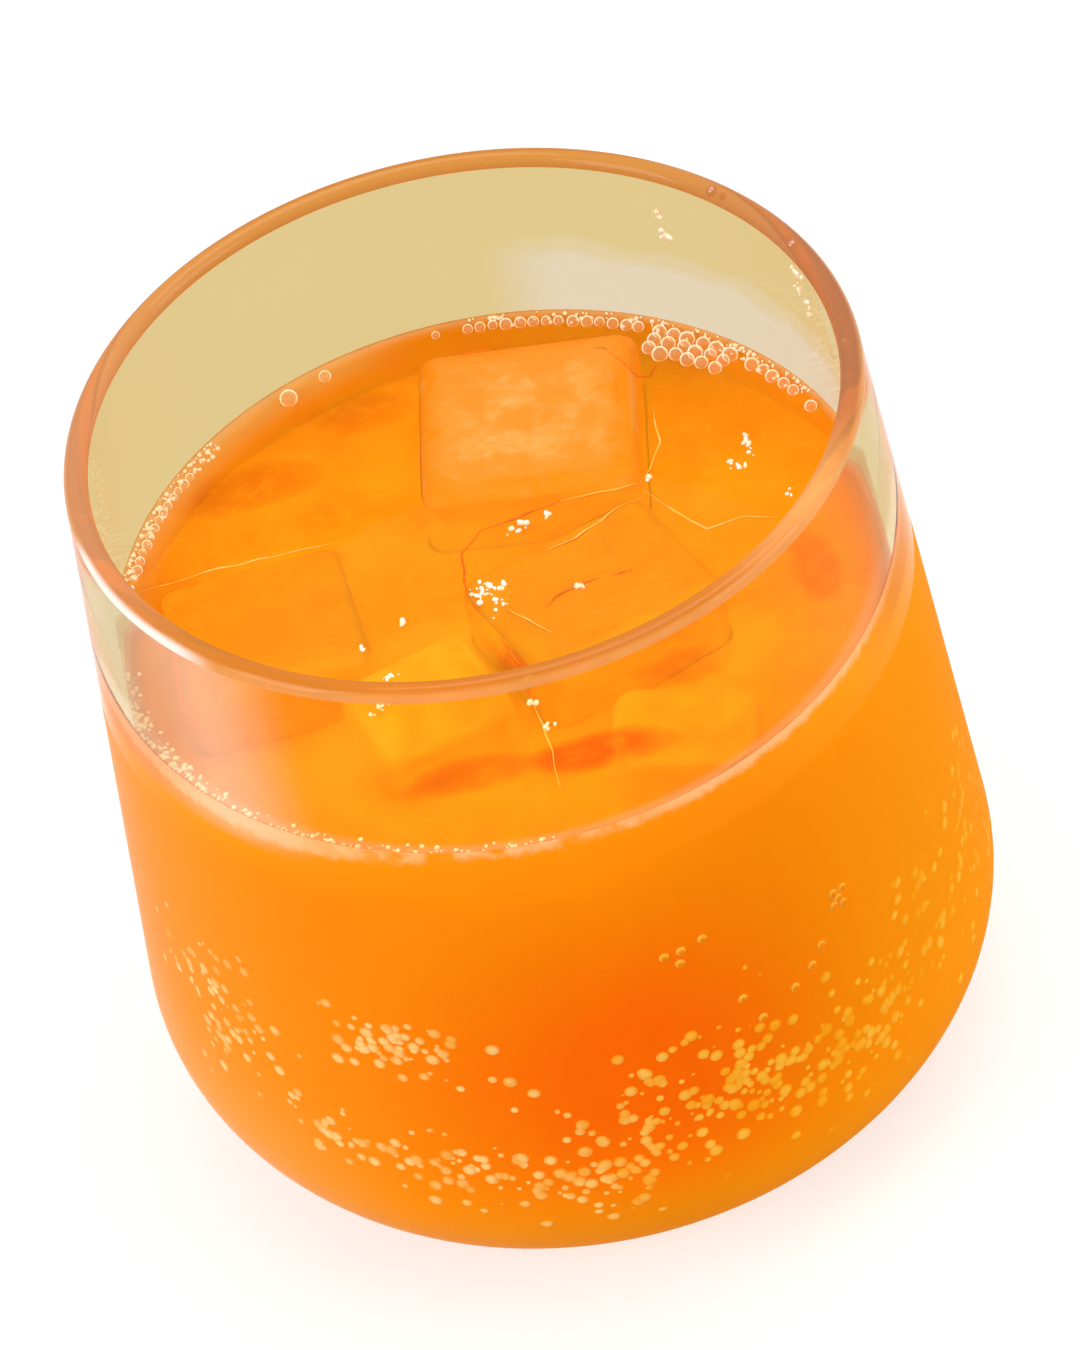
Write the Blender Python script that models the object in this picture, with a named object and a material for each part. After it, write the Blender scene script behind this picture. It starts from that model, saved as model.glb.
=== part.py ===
"""A low round tumbler of kombucha with ice: the glass, the drink with its surface bubbles, three ice cubes.

Metres, +Z up. The origin is the middle of the glass's underside. The front faces -Y.
"""

import math
import random

import bmesh
import bpy
from mathutils import Euler, Matrix, Vector, noise

MM = 0.001

# Glass
RIM_RADIUS = 40.0 * MM
GLASS_HEIGHT = 86.1 * MM
RIM_WALL = 2.45 * MM
OUTER_FLARE = math.radians(4.52)
INNER_FLARE = math.radians(4.1)
OUTER_CORNER = 17.8 * MM
INNER_CORNER = 15.6 * MM
BASE_THICKNESS = 2.6 * MM
SEGMENTS = 72
CORNER_STEPS = 8
RIM_STEPS = 6

# Drink
WATER_LEVEL = 63.3 * MM
GAP = 0.3 * MM
MENISCUS_RISE = 0.6 * MM
MENISCUS_WIDTH = 1.4 * MM

# Bubbles on the drink
BUBBLE_SINK = 0.25
BUBBLE_RINGS = 4
BUBBLE_SIDES = 7
BUBBLE_SPACING = 2.15
BUBBLE_SPACING_SPREAD = 1.25
BUBBLE_SIZE_SPREAD = 0.15
BUBBLE_ROW_STEP = 1.7
WALL_CLEARANCE = 0.25 * MM
BUBBLE_SEED = 4
# Rows of bubbles along the waterline: first and last azimuth, bubble radius, rows in from the wall
BUBBLE_ROWS = (
    (math.radians(86), math.radians(56), 0.62 * MM, 1),
    (math.radians(54), math.radians(38), 0.78 * MM, 3),
    (math.radians(36), math.radians(25), 0.70 * MM, 1),
    (math.radians(163), math.radians(139), 0.50 * MM, 1),
)
# Bubbles that float alone: azimuth and radius
LONE_BUBBLES = (
    (math.radians(117.5), 0.98 * MM),
    (math.radians(110.3), 0.68 * MM),
    (math.radians(91.2), 0.45 * MM),
    (math.radians(21.5), 0.68 * MM),
)

# Ice
ICE_ROUND = 2.6 * MM
ICE_ROUND_STEPS = 3
ICE_CUTS = 5
ICE_RELIEF = 0.35 * MM
ICE_RELIEF_SIZE = 3.2 * MM
BROAD_SHARE = 1 / 3
# Size, middle in plan, height of the top over the drink, turn, narrowing below and noise seed
CUBES = {
    "ice_back": {
        "size": (24.0 * MM, 24.5 * MM, 25.0 * MM),
        "middle": (6.6 * MM, 21.6 * MM),
        "above": 1.3 * MM,
        "turn": (math.radians(1.0), 0.0, math.radians(-8)),
        "taper": 0.08,
        "seed": 3.0,
    },
    "ice_right": {
        "size": (22.5 * MM, 19.0 * MM, 23.0 * MM),
        "middle": (8.8 * MM, -5.6 * MM),
        "above": 1.2 * MM,
        "turn": (0.0, math.radians(1.2), math.radians(22)),
        "taper": 0.06,
        "seed": 11.0,
    },
    "ice_left": {
        "size": (20.5 * MM, 19.5 * MM, 22.0 * MM),
        "middle": (-24.2 * MM, -0.4 * MM),
        "above": 1.1 * MM,
        "turn": (math.radians(-1.0), 0.0, math.radians(4)),
        "taper": 0.08,
        "seed": 23.0,
    },
}

MERGE = 1e-6
SHARP_ANGLE = math.radians(35)


def clear_scene():
    """Empties the scene that the script is run in."""
    for thing in list(bpy.data.objects):
        bpy.data.objects.remove(thing)


def material(name, colour, roughness, alpha=1.0):
    """A plain Principled material."""
    made = bpy.data.materials.new(name)
    made.use_nodes = True
    shader = made.node_tree.nodes["Principled BSDF"]
    shader.inputs["Base Color"].default_value = (*colour, 1.0)
    shader.inputs["Roughness"].default_value = roughness
    shader.inputs["Metallic"].default_value = 0.0
    shader.inputs["Alpha"].default_value = alpha
    made.diffuse_color = (*colour, alpha)
    return made


def add_object(name, mesh, made_of):
    """Links a mesh to the scene as one smooth-shaded object."""
    mesh.materials.append(made_of)
    mesh.shade_smooth()
    mesh.set_sharp_from_angle(angle=SHARP_ANGLE)
    thing = bpy.data.objects.new(name, mesh)
    bpy.context.scene.collection.objects.link(thing)
    return thing


def arc(centre_x, centre_z, radius, start, end, steps):
    """Points of an arc in the XZ plane, both ends included. Angles are from +X, counterclockwise."""
    return [
        (
            centre_x + radius * math.cos(start + (end - start) * i / steps),
            centre_z + radius * math.sin(start + (end - start) * i / steps),
        )
        for i in range(steps + 1)
    ]


def corner_centre(wall_x, wall_z, flare, corner, floor_z):
    """X of the centre of an arc that is tangent to a floor and to a wall through a point of it."""
    centre_z = floor_z + corner
    return wall_x - (corner + (centre_z - wall_z) * math.sin(flare)) / math.cos(flare)


def outer_profile():
    """Outer side of the glass, from the middle of the base up to the widest line of the rim bead."""
    bead = RIM_WALL / 2
    centre_x = corner_centre(RIM_RADIUS, GLASS_HEIGHT - bead, OUTER_FLARE, OUTER_CORNER, 0.0)
    return [(0.0, 0.0)] + arc(
        centre_x, OUTER_CORNER, OUTER_CORNER, -math.pi / 2, OUTER_FLARE, CORNER_STEPS
    )


def inner_profile(inset=0.0):
    """Inner side of the glass below the rim bead, top to bottom, or a line that far inside it."""
    bead = RIM_WALL / 2
    wall_x = RIM_RADIUS - RIM_WALL - inset / math.cos(INNER_FLARE)
    corner = INNER_CORNER - inset
    floor_z = BASE_THICKNESS + inset
    centre_x = corner_centre(wall_x, GLASS_HEIGHT - bead, INNER_FLARE, corner, floor_z)
    return arc(centre_x, floor_z + corner, corner, INNER_FLARE, -math.pi / 2, CORNER_STEPS) + [
        (0.0, floor_z)
    ]


def inner_radius(z):
    """Radius of the glass's inner wall at a height above its rounded corner."""
    return RIM_RADIUS - RIM_WALL + (GLASS_HEIGHT - RIM_WALL / 2 - z) * math.tan(INNER_FLARE)


def turned(name, profile):
    """A mesh made by spinning a profile, whose ends lie on the Z axis, once round that axis."""
    form = bmesh.new()
    points = [form.verts.new((x, 0.0, z)) for x, z in profile]
    edges = [form.edges.new(pair) for pair in zip(points, points[1:])]
    bmesh.ops.spin(
        form,
        geom=points + edges,
        cent=(0.0, 0.0, 0.0),
        axis=(0.0, 0.0, 1.0),
        angle=math.tau,
        steps=SEGMENTS,
        use_merge=True,
    )
    bmesh.ops.remove_doubles(form, verts=form.verts, dist=MERGE)
    bmesh.ops.recalc_face_normals(form, faces=form.faces)
    mesh = bpy.data.meshes.new(name)
    form.to_mesh(mesh)
    form.free()
    return mesh


def make_glass():
    """The tumbler: one turned wall with a bead for a rim and a thick rounded base."""
    bead = RIM_WALL / 2
    rim = arc(RIM_RADIUS - bead, GLASS_HEIGHT - bead, bead, 0.0, math.pi, RIM_STEPS)
    profile = outer_profile() + rim + inner_profile()
    clear = material("tinted_glass", (0.86, 0.78, 0.52), 0.05, 0.35)
    return add_object("glass", turned("glass", profile), clear)


def drink_profile():
    """The drink's half section: its flat top, the meniscus that climbs the wall, then the glass's shape."""
    top = WATER_LEVEL + MENISCUS_RISE
    wall = inner_radius(top) - GAP
    surface = [
        (0.0, WATER_LEVEL),
        (wall - MENISCUS_WIDTH, WATER_LEVEL),
        (wall - MENISCUS_WIDTH / 3, WATER_LEVEL + MENISCUS_RISE / 3),
        (wall, top),
    ]
    return surface + inner_profile(GAP)


def ice_frame(ice):
    """Places a cube of ice: its turn and tilt, with its top at its height over the drink."""
    height = ice["size"][2]
    middle = Vector((*ice["middle"], WATER_LEVEL + ice["above"] - height / 2))
    return Matrix.Translation(middle) @ Euler(ice["turn"], "XYZ").to_matrix().to_4x4()


def rounded_block(size, extra, taper):
    """A block with rounded edges, a little narrower at the bottom, larger all round by extra."""
    form = bmesh.new()
    bmesh.ops.create_cube(form, size=1.0)
    for vert in form.verts:
        narrower = 1.0 - taper * (0.5 - vert.co.z)
        vert.co.x *= size[0] * narrower + 2 * extra
        vert.co.y *= size[1] * narrower + 2 * extra
        vert.co.z *= size[2] + 2 * extra
    bmesh.ops.bevel(
        form,
        geom=list(form.edges),
        offset=ICE_ROUND,
        offset_type="OFFSET",
        segments=ICE_ROUND_STEPS,
        profile=0.5,
        affect="EDGES",
        material=-1,
    )
    return form


def add_relief(form, seed):
    """Hollows the block's broad faces unevenly, as melting does, and never lets them swell."""
    broad = max(face.calc_area() for face in form.faces) * BROAD_SHARE
    edges = {edge for face in form.faces if face.calc_area() > broad for edge in face.edges}
    bmesh.ops.subdivide_edges(form, edges=list(edges), cuts=ICE_CUTS, use_grid_fill=True)
    form.normal_update()
    shift = Vector((seed, 0.0, 0.0))
    for vert in form.verts:
        wave = noise.noise(vert.co / ICE_RELIEF_SIZE + shift)
        vert.co -= vert.normal * ICE_RELIEF * (0.5 + 0.5 * wave)


def make_ice(name, ice, clear):
    """One cube of ice with a melted surface."""
    form = rounded_block(ice["size"], 0.0, ice["taper"])
    add_relief(form, ice["seed"])
    bmesh.ops.transform(form, matrix=ice_frame(ice), verts=form.verts)
    bmesh.ops.triangulate(form, faces=form.faces)
    bmesh.ops.recalc_face_normals(form, faces=form.faces)
    mesh = bpy.data.meshes.new(name)
    form.to_mesh(mesh)
    form.free()
    return add_object(name, mesh, clear)


def make_cutter(name, ice):
    """The pocket in the drink for one cube, wider than the cube by the gap."""
    form = rounded_block(ice["size"], GAP, ice["taper"])
    bmesh.ops.transform(form, matrix=ice_frame(ice), verts=form.verts)
    mesh = bpy.data.meshes.new(name)
    form.to_mesh(mesh)
    form.free()
    return bpy.data.objects.new(name, mesh)


def bubble_mesh(name, middle, radius):
    """A small ball."""
    form = bmesh.new()
    bmesh.ops.create_uvsphere(form, u_segments=BUBBLE_SIDES, v_segments=BUBBLE_RINGS, radius=radius)
    bmesh.ops.translate(form, vec=middle, verts=form.verts)
    mesh = bpy.data.meshes.new(name)
    form.to_mesh(mesh)
    form.free()
    return mesh


def bubble_place(azimuth, radius, row):
    """Centre of a bubble that floats at an azimuth, so many bubbles in from the wall."""
    from_wall = GAP + WALL_CLEARANCE + radius * (1 + BUBBLE_ROW_STEP * row)
    out = inner_radius(WATER_LEVEL + 2 * radius) - from_wall
    return Vector((out * math.cos(azimuth), out * math.sin(azimuth), WATER_LEVEL + BUBBLE_SINK * radius))


def from_cube(point, ice):
    """How far a point is from a cube's rounded surface, less than nothing inside it."""
    local = ice_frame(ice).inverted() @ point
    past = [abs(c) - size / 2 + ICE_ROUND for c, size in zip(local, ice["size"])]
    return math.hypot(*(max(p, 0.0) for p in past)) + min(max(past), 0.0) - ICE_ROUND


def bubble_list(cubes):
    """Centre and radius of each bubble on the drink that is clear of the ice."""
    draw = random.Random(BUBBLE_SEED)
    waterline = inner_radius(WATER_LEVEL)
    found = []
    for first, last, radius, rows in BUBBLE_ROWS:
        for row in range(rows):
            azimuth = first
            while azimuth > last:
                size = radius * (1 + BUBBLE_SIZE_SPREAD * draw.uniform(-1.0, 1.0))
                found.append((bubble_place(azimuth, size, row), size))
                azimuth -= BUBBLE_SPACING * radius / waterline * draw.uniform(1.0, BUBBLE_SPACING_SPREAD)
    for azimuth, radius in LONE_BUBBLES:
        found.append((bubble_place(azimuth, radius, 0), radius))
    return [
        (middle, radius)
        for middle, radius in found
        if all(from_cube(middle, ice) > radius + GAP for ice in cubes.values())
    ]


def boolean(thing, operation, operands):
    """Joins or cuts with all the operands at once, applies the result and removes them."""
    group = bpy.data.collections.new("operands")
    for operand in operands:
        group.objects.link(operand)
    bpy.context.scene.collection.children.link(group)
    step = thing.modifiers.new("step", "BOOLEAN")
    step.operation = operation
    step.operand_type = "COLLECTION"
    step.collection = group
    step.solver = "EXACT"
    shape = thing.evaluated_get(bpy.context.evaluated_depsgraph_get())
    mesh = bpy.data.meshes.new_from_object(shape)
    thing.modifiers.clear()
    thing.data = mesh
    for operand in operands:
        bpy.data.objects.remove(operand)
    bpy.data.collections.remove(group)


def make_drink(cubes):
    """The drink up to its level, with bubbles along the glass and a pocket round each cube."""
    orange = material("kombucha", (1.0, 0.32, 0.01), 0.1)
    drink = add_object("drink", turned("drink", drink_profile()), orange)
    bubbles = [
        bpy.data.objects.new(f"bubble_{i}", bubble_mesh(f"bubble_{i}", middle, radius))
        for i, (middle, radius) in enumerate(bubble_list(cubes))
    ]
    boolean(drink, "UNION", bubbles)
    pockets = [make_cutter(f"pocket_{name}", ice) for name, ice in cubes.items()]
    boolean(drink, "DIFFERENCE", pockets)
    return drink


def main():
    clear_scene()
    make_glass()
    make_drink(CUBES)
    clear_ice = material("ice", (0.98, 0.80, 0.55), 0.15, 0.5)
    for name, ice in CUBES.items():
        make_ice(name, ice, clear_ice)


main()
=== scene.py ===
"""A round tumbler of orange kombucha with ice and bubbles, dressed and lit for a studio picture.

Metres, +Z up. The origin is the middle of the glass's underside, and the camera stands towards -Y.
"""

import math
import random

import bmesh
import bpy
from bpy.props import FloatProperty, FloatVectorProperty, PointerProperty
from mathutils import Euler, Matrix, Vector, noise


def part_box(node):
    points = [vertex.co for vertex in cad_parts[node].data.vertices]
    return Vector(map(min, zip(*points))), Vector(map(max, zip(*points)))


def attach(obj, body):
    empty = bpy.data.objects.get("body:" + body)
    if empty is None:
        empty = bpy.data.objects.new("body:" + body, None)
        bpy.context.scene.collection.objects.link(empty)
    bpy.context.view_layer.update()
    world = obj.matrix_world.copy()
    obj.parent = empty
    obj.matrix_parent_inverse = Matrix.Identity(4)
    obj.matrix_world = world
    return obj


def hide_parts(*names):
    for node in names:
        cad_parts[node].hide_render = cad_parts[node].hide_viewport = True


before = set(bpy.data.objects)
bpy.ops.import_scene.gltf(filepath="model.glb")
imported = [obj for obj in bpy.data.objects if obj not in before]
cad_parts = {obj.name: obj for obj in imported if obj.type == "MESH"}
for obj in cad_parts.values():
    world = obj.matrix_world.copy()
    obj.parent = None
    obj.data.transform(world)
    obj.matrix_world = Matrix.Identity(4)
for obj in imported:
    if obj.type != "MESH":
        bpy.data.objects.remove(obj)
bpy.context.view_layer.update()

bl_info = {
    "name": "Glass of kombucha",
    "version": (1, 0, 0),
    "blender": (4, 5, 0),
    "location": "3D View > Sidebar > Drink",
    "description": "Builds the glass, the drink, its ice and bubbles, and a plain studio",
    "category": "Object",
}

MM = 0.001
BODY = "root"
GLASS_LOW, GLASS_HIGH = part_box("glass")

# Corners of the tumbler's section, as the frame has them
OUTER_FLARE = math.radians(4.52)
INNER_FLARE = math.radians(4.1)
OUTER_CORNER = 17.8 * MM
INNER_CORNER = 15.6 * MM
BASE_THICKNESS = 2.6 * MM
WALL_STEPS = 10
CORNER_STEPS = 20
RIM_STEPS = 16
ROUND_SEGMENTS = 160

# How far the drink reaches into the wall, and into the ice
INTO_WALL = 0.15 * MM
INTO_ICE = 0.12 * MM
MENISCUS_RISE = 0.6 * MM
MENISCUS_WIDTH = 1.4 * MM
MENISCUS_STEPS = 5
SURFACE_RINGS = 12

# Bubbles at the waterline, as the frame has them. A row: first and last azimuth in degrees, radius in
# millimetres and how many rows deep. A lone bubble: azimuth and radius.
FRAME_GAP = 0.3 * MM
WALL_CLEARANCE = 0.25 * MM
BUBBLE_SINK = 0.25
BUBBLE_SPACING = 2.15
BUBBLE_SPACING_SPREAD = 1.25
BUBBLE_SIZE_SPREAD = 0.15
BUBBLE_ROW_STEP = 1.7
BUBBLE_SEED = 4
BUBBLE_ROWS = (
    (86, 56, 0.62, 1),
    (54, 38, 0.78, 3),
    (36, 25, 0.70, 1),
    (163, 139, 0.50, 1),
)
LONE_BUBBLES = (
    (117.5, 0.98),
    (110.3, 0.68),
    (91.2, 0.45),
    (21.5, 0.68),
)

# The rounded edges and the melted relief of the ice
ICE_ROUND = 2.6 * MM
ICE_ROUND_STEPS = 5
ICE_RELIEF = 0.35 * MM
ICE_RELIEF_SIZE = 3.2 * MM
BROAD_SHARE = 1 / 3
ICE_CUTS = 30
FINE_RELIEF = 0.10 * MM
FINE_RELIEF_SIZE = 1.1 * MM
EDGE_SHARE = 0.707
ICE_IOR = 1.31


def cube(size, middle, above, turn, taper, seed):
    """A cube of ice. Its size, middle in plan and height of the top over the drink are in millimetres."""
    return {
        "size": tuple(side * MM for side in size),
        "middle": tuple(place * MM for place in middle),
        "above": above * MM,
        "turn": tuple(math.radians(angle) for angle in turn),
        "taper": taper,
        "seed": seed,
    }


CUBES = {
    "ice_back": cube(
        (24.0, 24.5, 25.0), (6.6, 21.6), 1.3, turn=(1.0, 0.0, -8), taper=0.08, seed=3.0
    ),
    "ice_right": cube(
        (22.5, 19.0, 23.0), (8.8, -5.6), 1.2, turn=(0.0, 1.2, 22), taper=0.06, seed=11.0
    ),
    "ice_left": cube(
        (20.5, 19.5, 22.0), (-24.2, -0.4), 1.1, turn=(-1.0, 0.0, 4), taper=0.08, seed=23.0
    ),
}
SUNKEN_CUBES = {
    "sunken_left": cube(
        (15.0, 14.0, 16.0), (-10.0, -14.0), -0.8, turn=(2.0, 2.0, 20), taper=0.05, seed=31.0
    ),
    "sunken_right": cube(
        (15.0, 12.0, 15.0), (14.0, -25.0), -2.2, turn=(-3.0, 4.0, -12), taper=0.05, seed=47.0
    ),
}

MERGE = 1e-6

# How the glass bends light. The wall round the drink bends it more, so that the orange reaches the outline.
GLASS_IOR = 1.08
FILLED_IOR = 1.25
FILLED_DROP = 3.0 * MM
LEFT_QUIET = 0.70
FULL_QUIET = 0.95
REFLECTION_TINT = (1.0, 0.55, 0.08)
LAMP_TINT = (1.0, 0.80, 0.45)
RIM_LAMP_TINT = (0.8, 0.6, 0.4)

# Where the wall's tint starts towards the back, as shares of the greatest radius, and its pale bands: a
# painted window reflection at the back right, and a coat at the front left that reflects the window lamp
TINT_START = -0.60
TINT_FULL = -0.10
TINT_BLUR = 1.0 * MM
TINT_SPREAD = 1.03
BACK_DROP = 4.5 * MM
BAND_IOR = 2.0
BAND_TOP = 74.0 * MM
BAND_WAVE = 4.0 * MM

# How much of the bead's wall belongs to the rim, and the white of a window on its edge, a painted highlight
RIM_SHARE = 0.62
SHINE = (1.0, 0.93, 0.90)

# How uneven the outline of a soft patch is
PATCH_WAVE = 0.9
PATCH_WAVE_SIZE = 5.0 * MM

def colour_setting(name, about, default):
    """A colour in the panel."""
    return FloatVectorProperty(
        name=name, description=about, default=default, subtype="COLOR", min=0.0, max=1.0
    )


def length_setting(name, about, default):
    """A length in the panel."""
    return FloatProperty(name=name, description=about, default=default, unit="LENGTH")


class GlassSettings(bpy.types.PropertyGroup):
    """Sizes and colours of the tumbler."""

    rim_radius: length_setting("Rim radius", "Greatest radius of the rim bead", 40.0 * MM)
    rim_wall: length_setting("Rim wall", "Thickness of the wall at the rim", 2.45 * MM)
    wall_colour: colour_setting("Wall colour", "Tint of light through the wall", (0.645, 0.505, 0.235))
    # Painted reflection of a window: a paler tint of the wall
    painted_window_colour: colour_setting(
        "Band colour", "Paler tint where a window shows in the wall", (0.68, 0.58, 0.42)
    )
    clear_colour: colour_setting(
        "Clear colour", "Tint of the wall in front of the drink", (0.98, 0.92, 0.70)
    )
    # Painted reflection: the drink's colour, caught inside the thick base, painted into its tint
    base_reflection_colour: colour_setting(
        "Base colour", "Tint of the thick base, which gathers the drink's colour", (1.0, 0.80, 0.50)
    )
    rim_left_colour: colour_setting(
        "Rim colour at the left", "Colour of the bead at its left", (0.68, 0.27, 0.11)
    )
    rim_right_colour: colour_setting(
        "Rim colour at the right", "Colour of the bead at its right", (0.50, 0.175, 0.068)
    )
    rim_front_colour: colour_setting(
        "Rim colour at the front", "Colour of the bead at the front", (0.58, 0.195, 0.018)
    )
    rim_edge_colour: colour_setting(
        "Rim edge colour", "Paler colour of the bead's outer edge", (0.86, 0.40, 0.12)
    )
    rim_back_colour: colour_setting(
        "Rim colour at the back", "Colour of the bead at the back", (0.58, 0.22, 0.033)
    )


class DrinkSettings(bpy.types.PropertyGroup):
    """Level and colours of the kombucha."""

    level: length_setting("Level", "Height of the drink's flat surface", 63.3 * MM)
    colour: colour_setting("Colour", "The drink's own orange", (0.97, 0.28, 0.004))
    deep_colour: colour_setting(
        "Deep colour", "Redder orange where the drink is deep", (1.0, 0.16, 0.003)
    )
    light_colour: colour_setting(
        "Light colour", "Yellower orange where light comes through", (0.98, 0.36, 0.006)
    )
    shade_colour: colour_setting(
        "Shade colour", "Brown-red where ice shades the drink", (0.60, 0.098, 0.002)
    )
    glow_colour: colour_setting(
        "Glow colour", "Yellow where light gathers in the surface", (1.0, 0.44, 0.012)
    )
    # Foam and a painted highlight on the meniscus, in the pale line at the wall
    foam_and_highlight_colour: colour_setting("Foam colour", "Pale line at the wall", (1.0, 0.50, 0.28))


class StageSettings(bpy.types.PropertyGroup):
    """Camera, light and floor."""

    camera_distance: length_setting("Camera distance", "From the camera to the middle of the rim", 0.600)
    camera_height_angle: FloatProperty(
        name="Camera height angle", description="How far above the rim's level the camera stands",
        default=math.radians(41.02), subtype="ANGLE",
    )
    camera_roll: FloatProperty(
        name="Camera roll", description="Turn of the camera about its own axis",
        default=math.radians(-12.68), subtype="ANGLE",
    )
    target_side: length_setting("Target side", "How far right of the axis the camera aims", 1.92 * MM)
    target_height: length_setting(
        "Target height", "Height on the axis that the camera aims at", 48.05 * MM
    )
    lens: FloatProperty(name="Lens", description="Focal length in millimetres", default=162.5)
    floor_colour: colour_setting("Floor colour", "Pale plain floor", (0.42, 0.42, 0.42))


def put(tree, socket, item):
    """Gives a socket a value, or a link from another socket."""
    if isinstance(item, Value):
        item = item.socket
    if isinstance(item, bpy.types.NodeSocket):
        tree.links.new(item, socket)
    elif item is not None:
        socket.default_value = item


class Value:
    """A number in a material's nodes. Sums and products of it add Math nodes."""

    def __init__(self, tree, socket):
        self.tree = tree
        self.socket = socket

    def maths(self, operation, *items, clamp=False):
        node = self.tree.nodes.new("ShaderNodeMath")
        node.operation = operation
        node.use_clamp = clamp
        for socket, item in zip(node.inputs, items):
            put(self.tree, socket, item)
        return Value(self.tree, node.outputs[0])

    def __add__(self, other):
        return self.maths("ADD", self, other)

    def __radd__(self, other):
        return self.maths("ADD", other, self)

    def __sub__(self, other):
        return self.maths("SUBTRACT", self, other)

    def __rsub__(self, other):
        return self.maths("SUBTRACT", other, self)

    def __mul__(self, other):
        return self.maths("MULTIPLY", self, other)

    def __rmul__(self, other):
        return self.maths("MULTIPLY", other, self)

    def __truediv__(self, other):
        return self.maths("DIVIDE", self, other)

    def __pow__(self, other):
        return self.maths("POWER", self, other)

    def most(self, other):
        return self.maths("MAXIMUM", self, other)

    def least(self, other):
        return self.maths("MINIMUM", self, other)

    def step(self, low, high):
        """0 below low, 1 above high and smooth between them."""
        node = self.tree.nodes.new("ShaderNodeMapRange")
        node.interpolation_type = "SMOOTHSTEP"
        put(self.tree, node.inputs["Value"], self)
        put(self.tree, node.inputs["From Min"], low)
        put(self.tree, node.inputs["From Max"], high)
        return Value(self.tree, node.outputs["Result"])


class Finish:
    """A material that is built node by node."""

    def __init__(self, name):
        self.material = bpy.data.materials.new(name)
        self.material.use_nodes = True
        self.tree = self.material.node_tree
        self.shader = self.tree.nodes["Principled BSDF"]
        self.output = self.tree.nodes["Material Output"]

    def node(self, kind, settings=None, **sockets):
        """Adds a node, sets it, then gives its sockets their values or links. In a name, _ is a space."""
        node = self.tree.nodes.new(kind)
        for name, value in (settings or {}).items():
            setattr(node, name, value)
        for name, item in sockets.items():
            put(self.tree, node.inputs[name.replace("_", " ")], item)
        return node

    def set(self, **sockets):
        """Gives the Principled shader's sockets their values or links."""
        for name, item in sockets.items():
            put(self.tree, self.shader.inputs[name.replace("_", " ")], item)

    def matt(self, colour, roughness=0.5):
        """Sets a dull surface without a reflection, as of what lies behind glass."""
        self.set(Base_Color=colour, Roughness=roughness, Specular_IOR_Level=0.0)

    def number(self, socket):
        return Value(self.tree, socket)

    def place(self):
        """Object coordinates."""
        return self.node("ShaderNodeTexCoord").outputs["Object"]

    def xyz(self):
        """Object coordinates as three numbers."""
        parts = self.node("ShaderNodeSeparateXYZ", Vector=self.place())
        return [self.number(out) for out in parts.outputs]

    def softened(self, share):
        """The surface's own normal, turned towards straight up where it already looks up."""
        normal = self.node("ShaderNodeNewGeometry").outputs["Normal"]
        upward = self.number(self.node("ShaderNodeSeparateXYZ", Vector=normal).outputs["Z"]).step(0.1, 0.6)
        lift = self.node("ShaderNodeCombineXYZ", Z=upward * share)
        both = self.node("ShaderNodeVectorMath", {"operation": "ADD"})
        put(self.tree, both.inputs[0], normal)
        put(self.tree, both.inputs[1], lift.outputs["Vector"])
        made = self.node("ShaderNodeVectorMath", {"operation": "NORMALIZE"})
        put(self.tree, made.inputs[0], both.outputs["Vector"])
        return made.outputs["Vector"]

    def noise(self, size, detail=3.0, roughness=0.5, stretch=(1.0, 1.0, 1.0)):
        """Cloudy noise about 0.5, with features of a given size."""
        mapping = self.node("ShaderNodeMapping", Vector=self.place(), Scale=stretch)
        made = self.node(
            "ShaderNodeTexNoise",
            Vector=mapping.outputs["Vector"],
            Scale=1.0 / size,
            Detail=detail,
            Roughness=roughness,
        )
        return self.number(made.outputs["Fac"])

    def patch(self, x, y, middle, reach):
        """A soft patch with an uneven outline, in millimetres: 1 in its middle and 0 past its reach."""
        across = (x - middle[0] * MM) / (reach[0] * MM)
        along = (y - middle[1] * MM) / (reach[1] * MM)
        away = across * across + along * along + (self.noise(PATCH_WAVE_SIZE, detail=3.0) - 0.5) * PATCH_WAVE
        return 1 - away.step(0.15, 1.0)

    def attribute(self, name):
        """A number kept on the mesh."""
        return self.number(self.node("ShaderNodeAttribute", {"attribute_name": name}).outputs["Fac"])

    def mix(self, share, first, second):
        """A colour between two colours, each a socket or three numbers."""
        node = self.node("ShaderNodeMix", {"data_type": "RGBA"})
        put(self.tree, node.inputs["Factor"], share)
        for name, colour in (("A", first), ("B", second)):
            linked = isinstance(colour, bpy.types.NodeSocket)
            put(self.tree, node.inputs[name], colour if linked else (*colour, 1.0))
        return node.outputs["Result"]

    def facing(self):
        """0 where the surface faces the camera and 1 along its outline."""
        return self.number(self.node("ShaderNodeLayerWeight", Blend=0.5).outputs["Facing"])

    def bump(self, height, distance, strength=1.0, normal=None):
        """Relief from a height between 0 and 1."""
        sockets = {"Height": height, "Strength": strength, "Distance": distance, "Normal": normal}
        return self.node("ShaderNodeBump", **sockets).outputs["Normal"]

    def let_lamps_through(self, tint, plain=None):
        """Light from lamps passes the surface, tinted."""
        clear = self.node("ShaderNodeBsdfTransparent", Color=(*tint, 1.0))
        path = self.node("ShaderNodeLightPath")
        both = self.node("ShaderNodeMixShader")
        put(self.tree, both.inputs["Fac"], path.outputs["Is Shadow Ray"])
        put(self.tree, both.inputs[1], plain or self.shader.outputs["BSDF"])
        put(self.tree, both.inputs[2], clear.outputs["BSDF"])
        put(self.tree, self.output.inputs["Surface"], both.outputs["Shader"])


def arc(centre_x, centre_z, radius, start, end, steps):
    """Points of an arc in the XZ plane, both ends included. Angles are from +X, counterclockwise."""
    return [
        (
            centre_x + radius * math.cos(start + (end - start) * i / steps),
            centre_z + radius * math.sin(start + (end - start) * i / steps),
        )
        for i in range(steps + 1)
    ]


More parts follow.
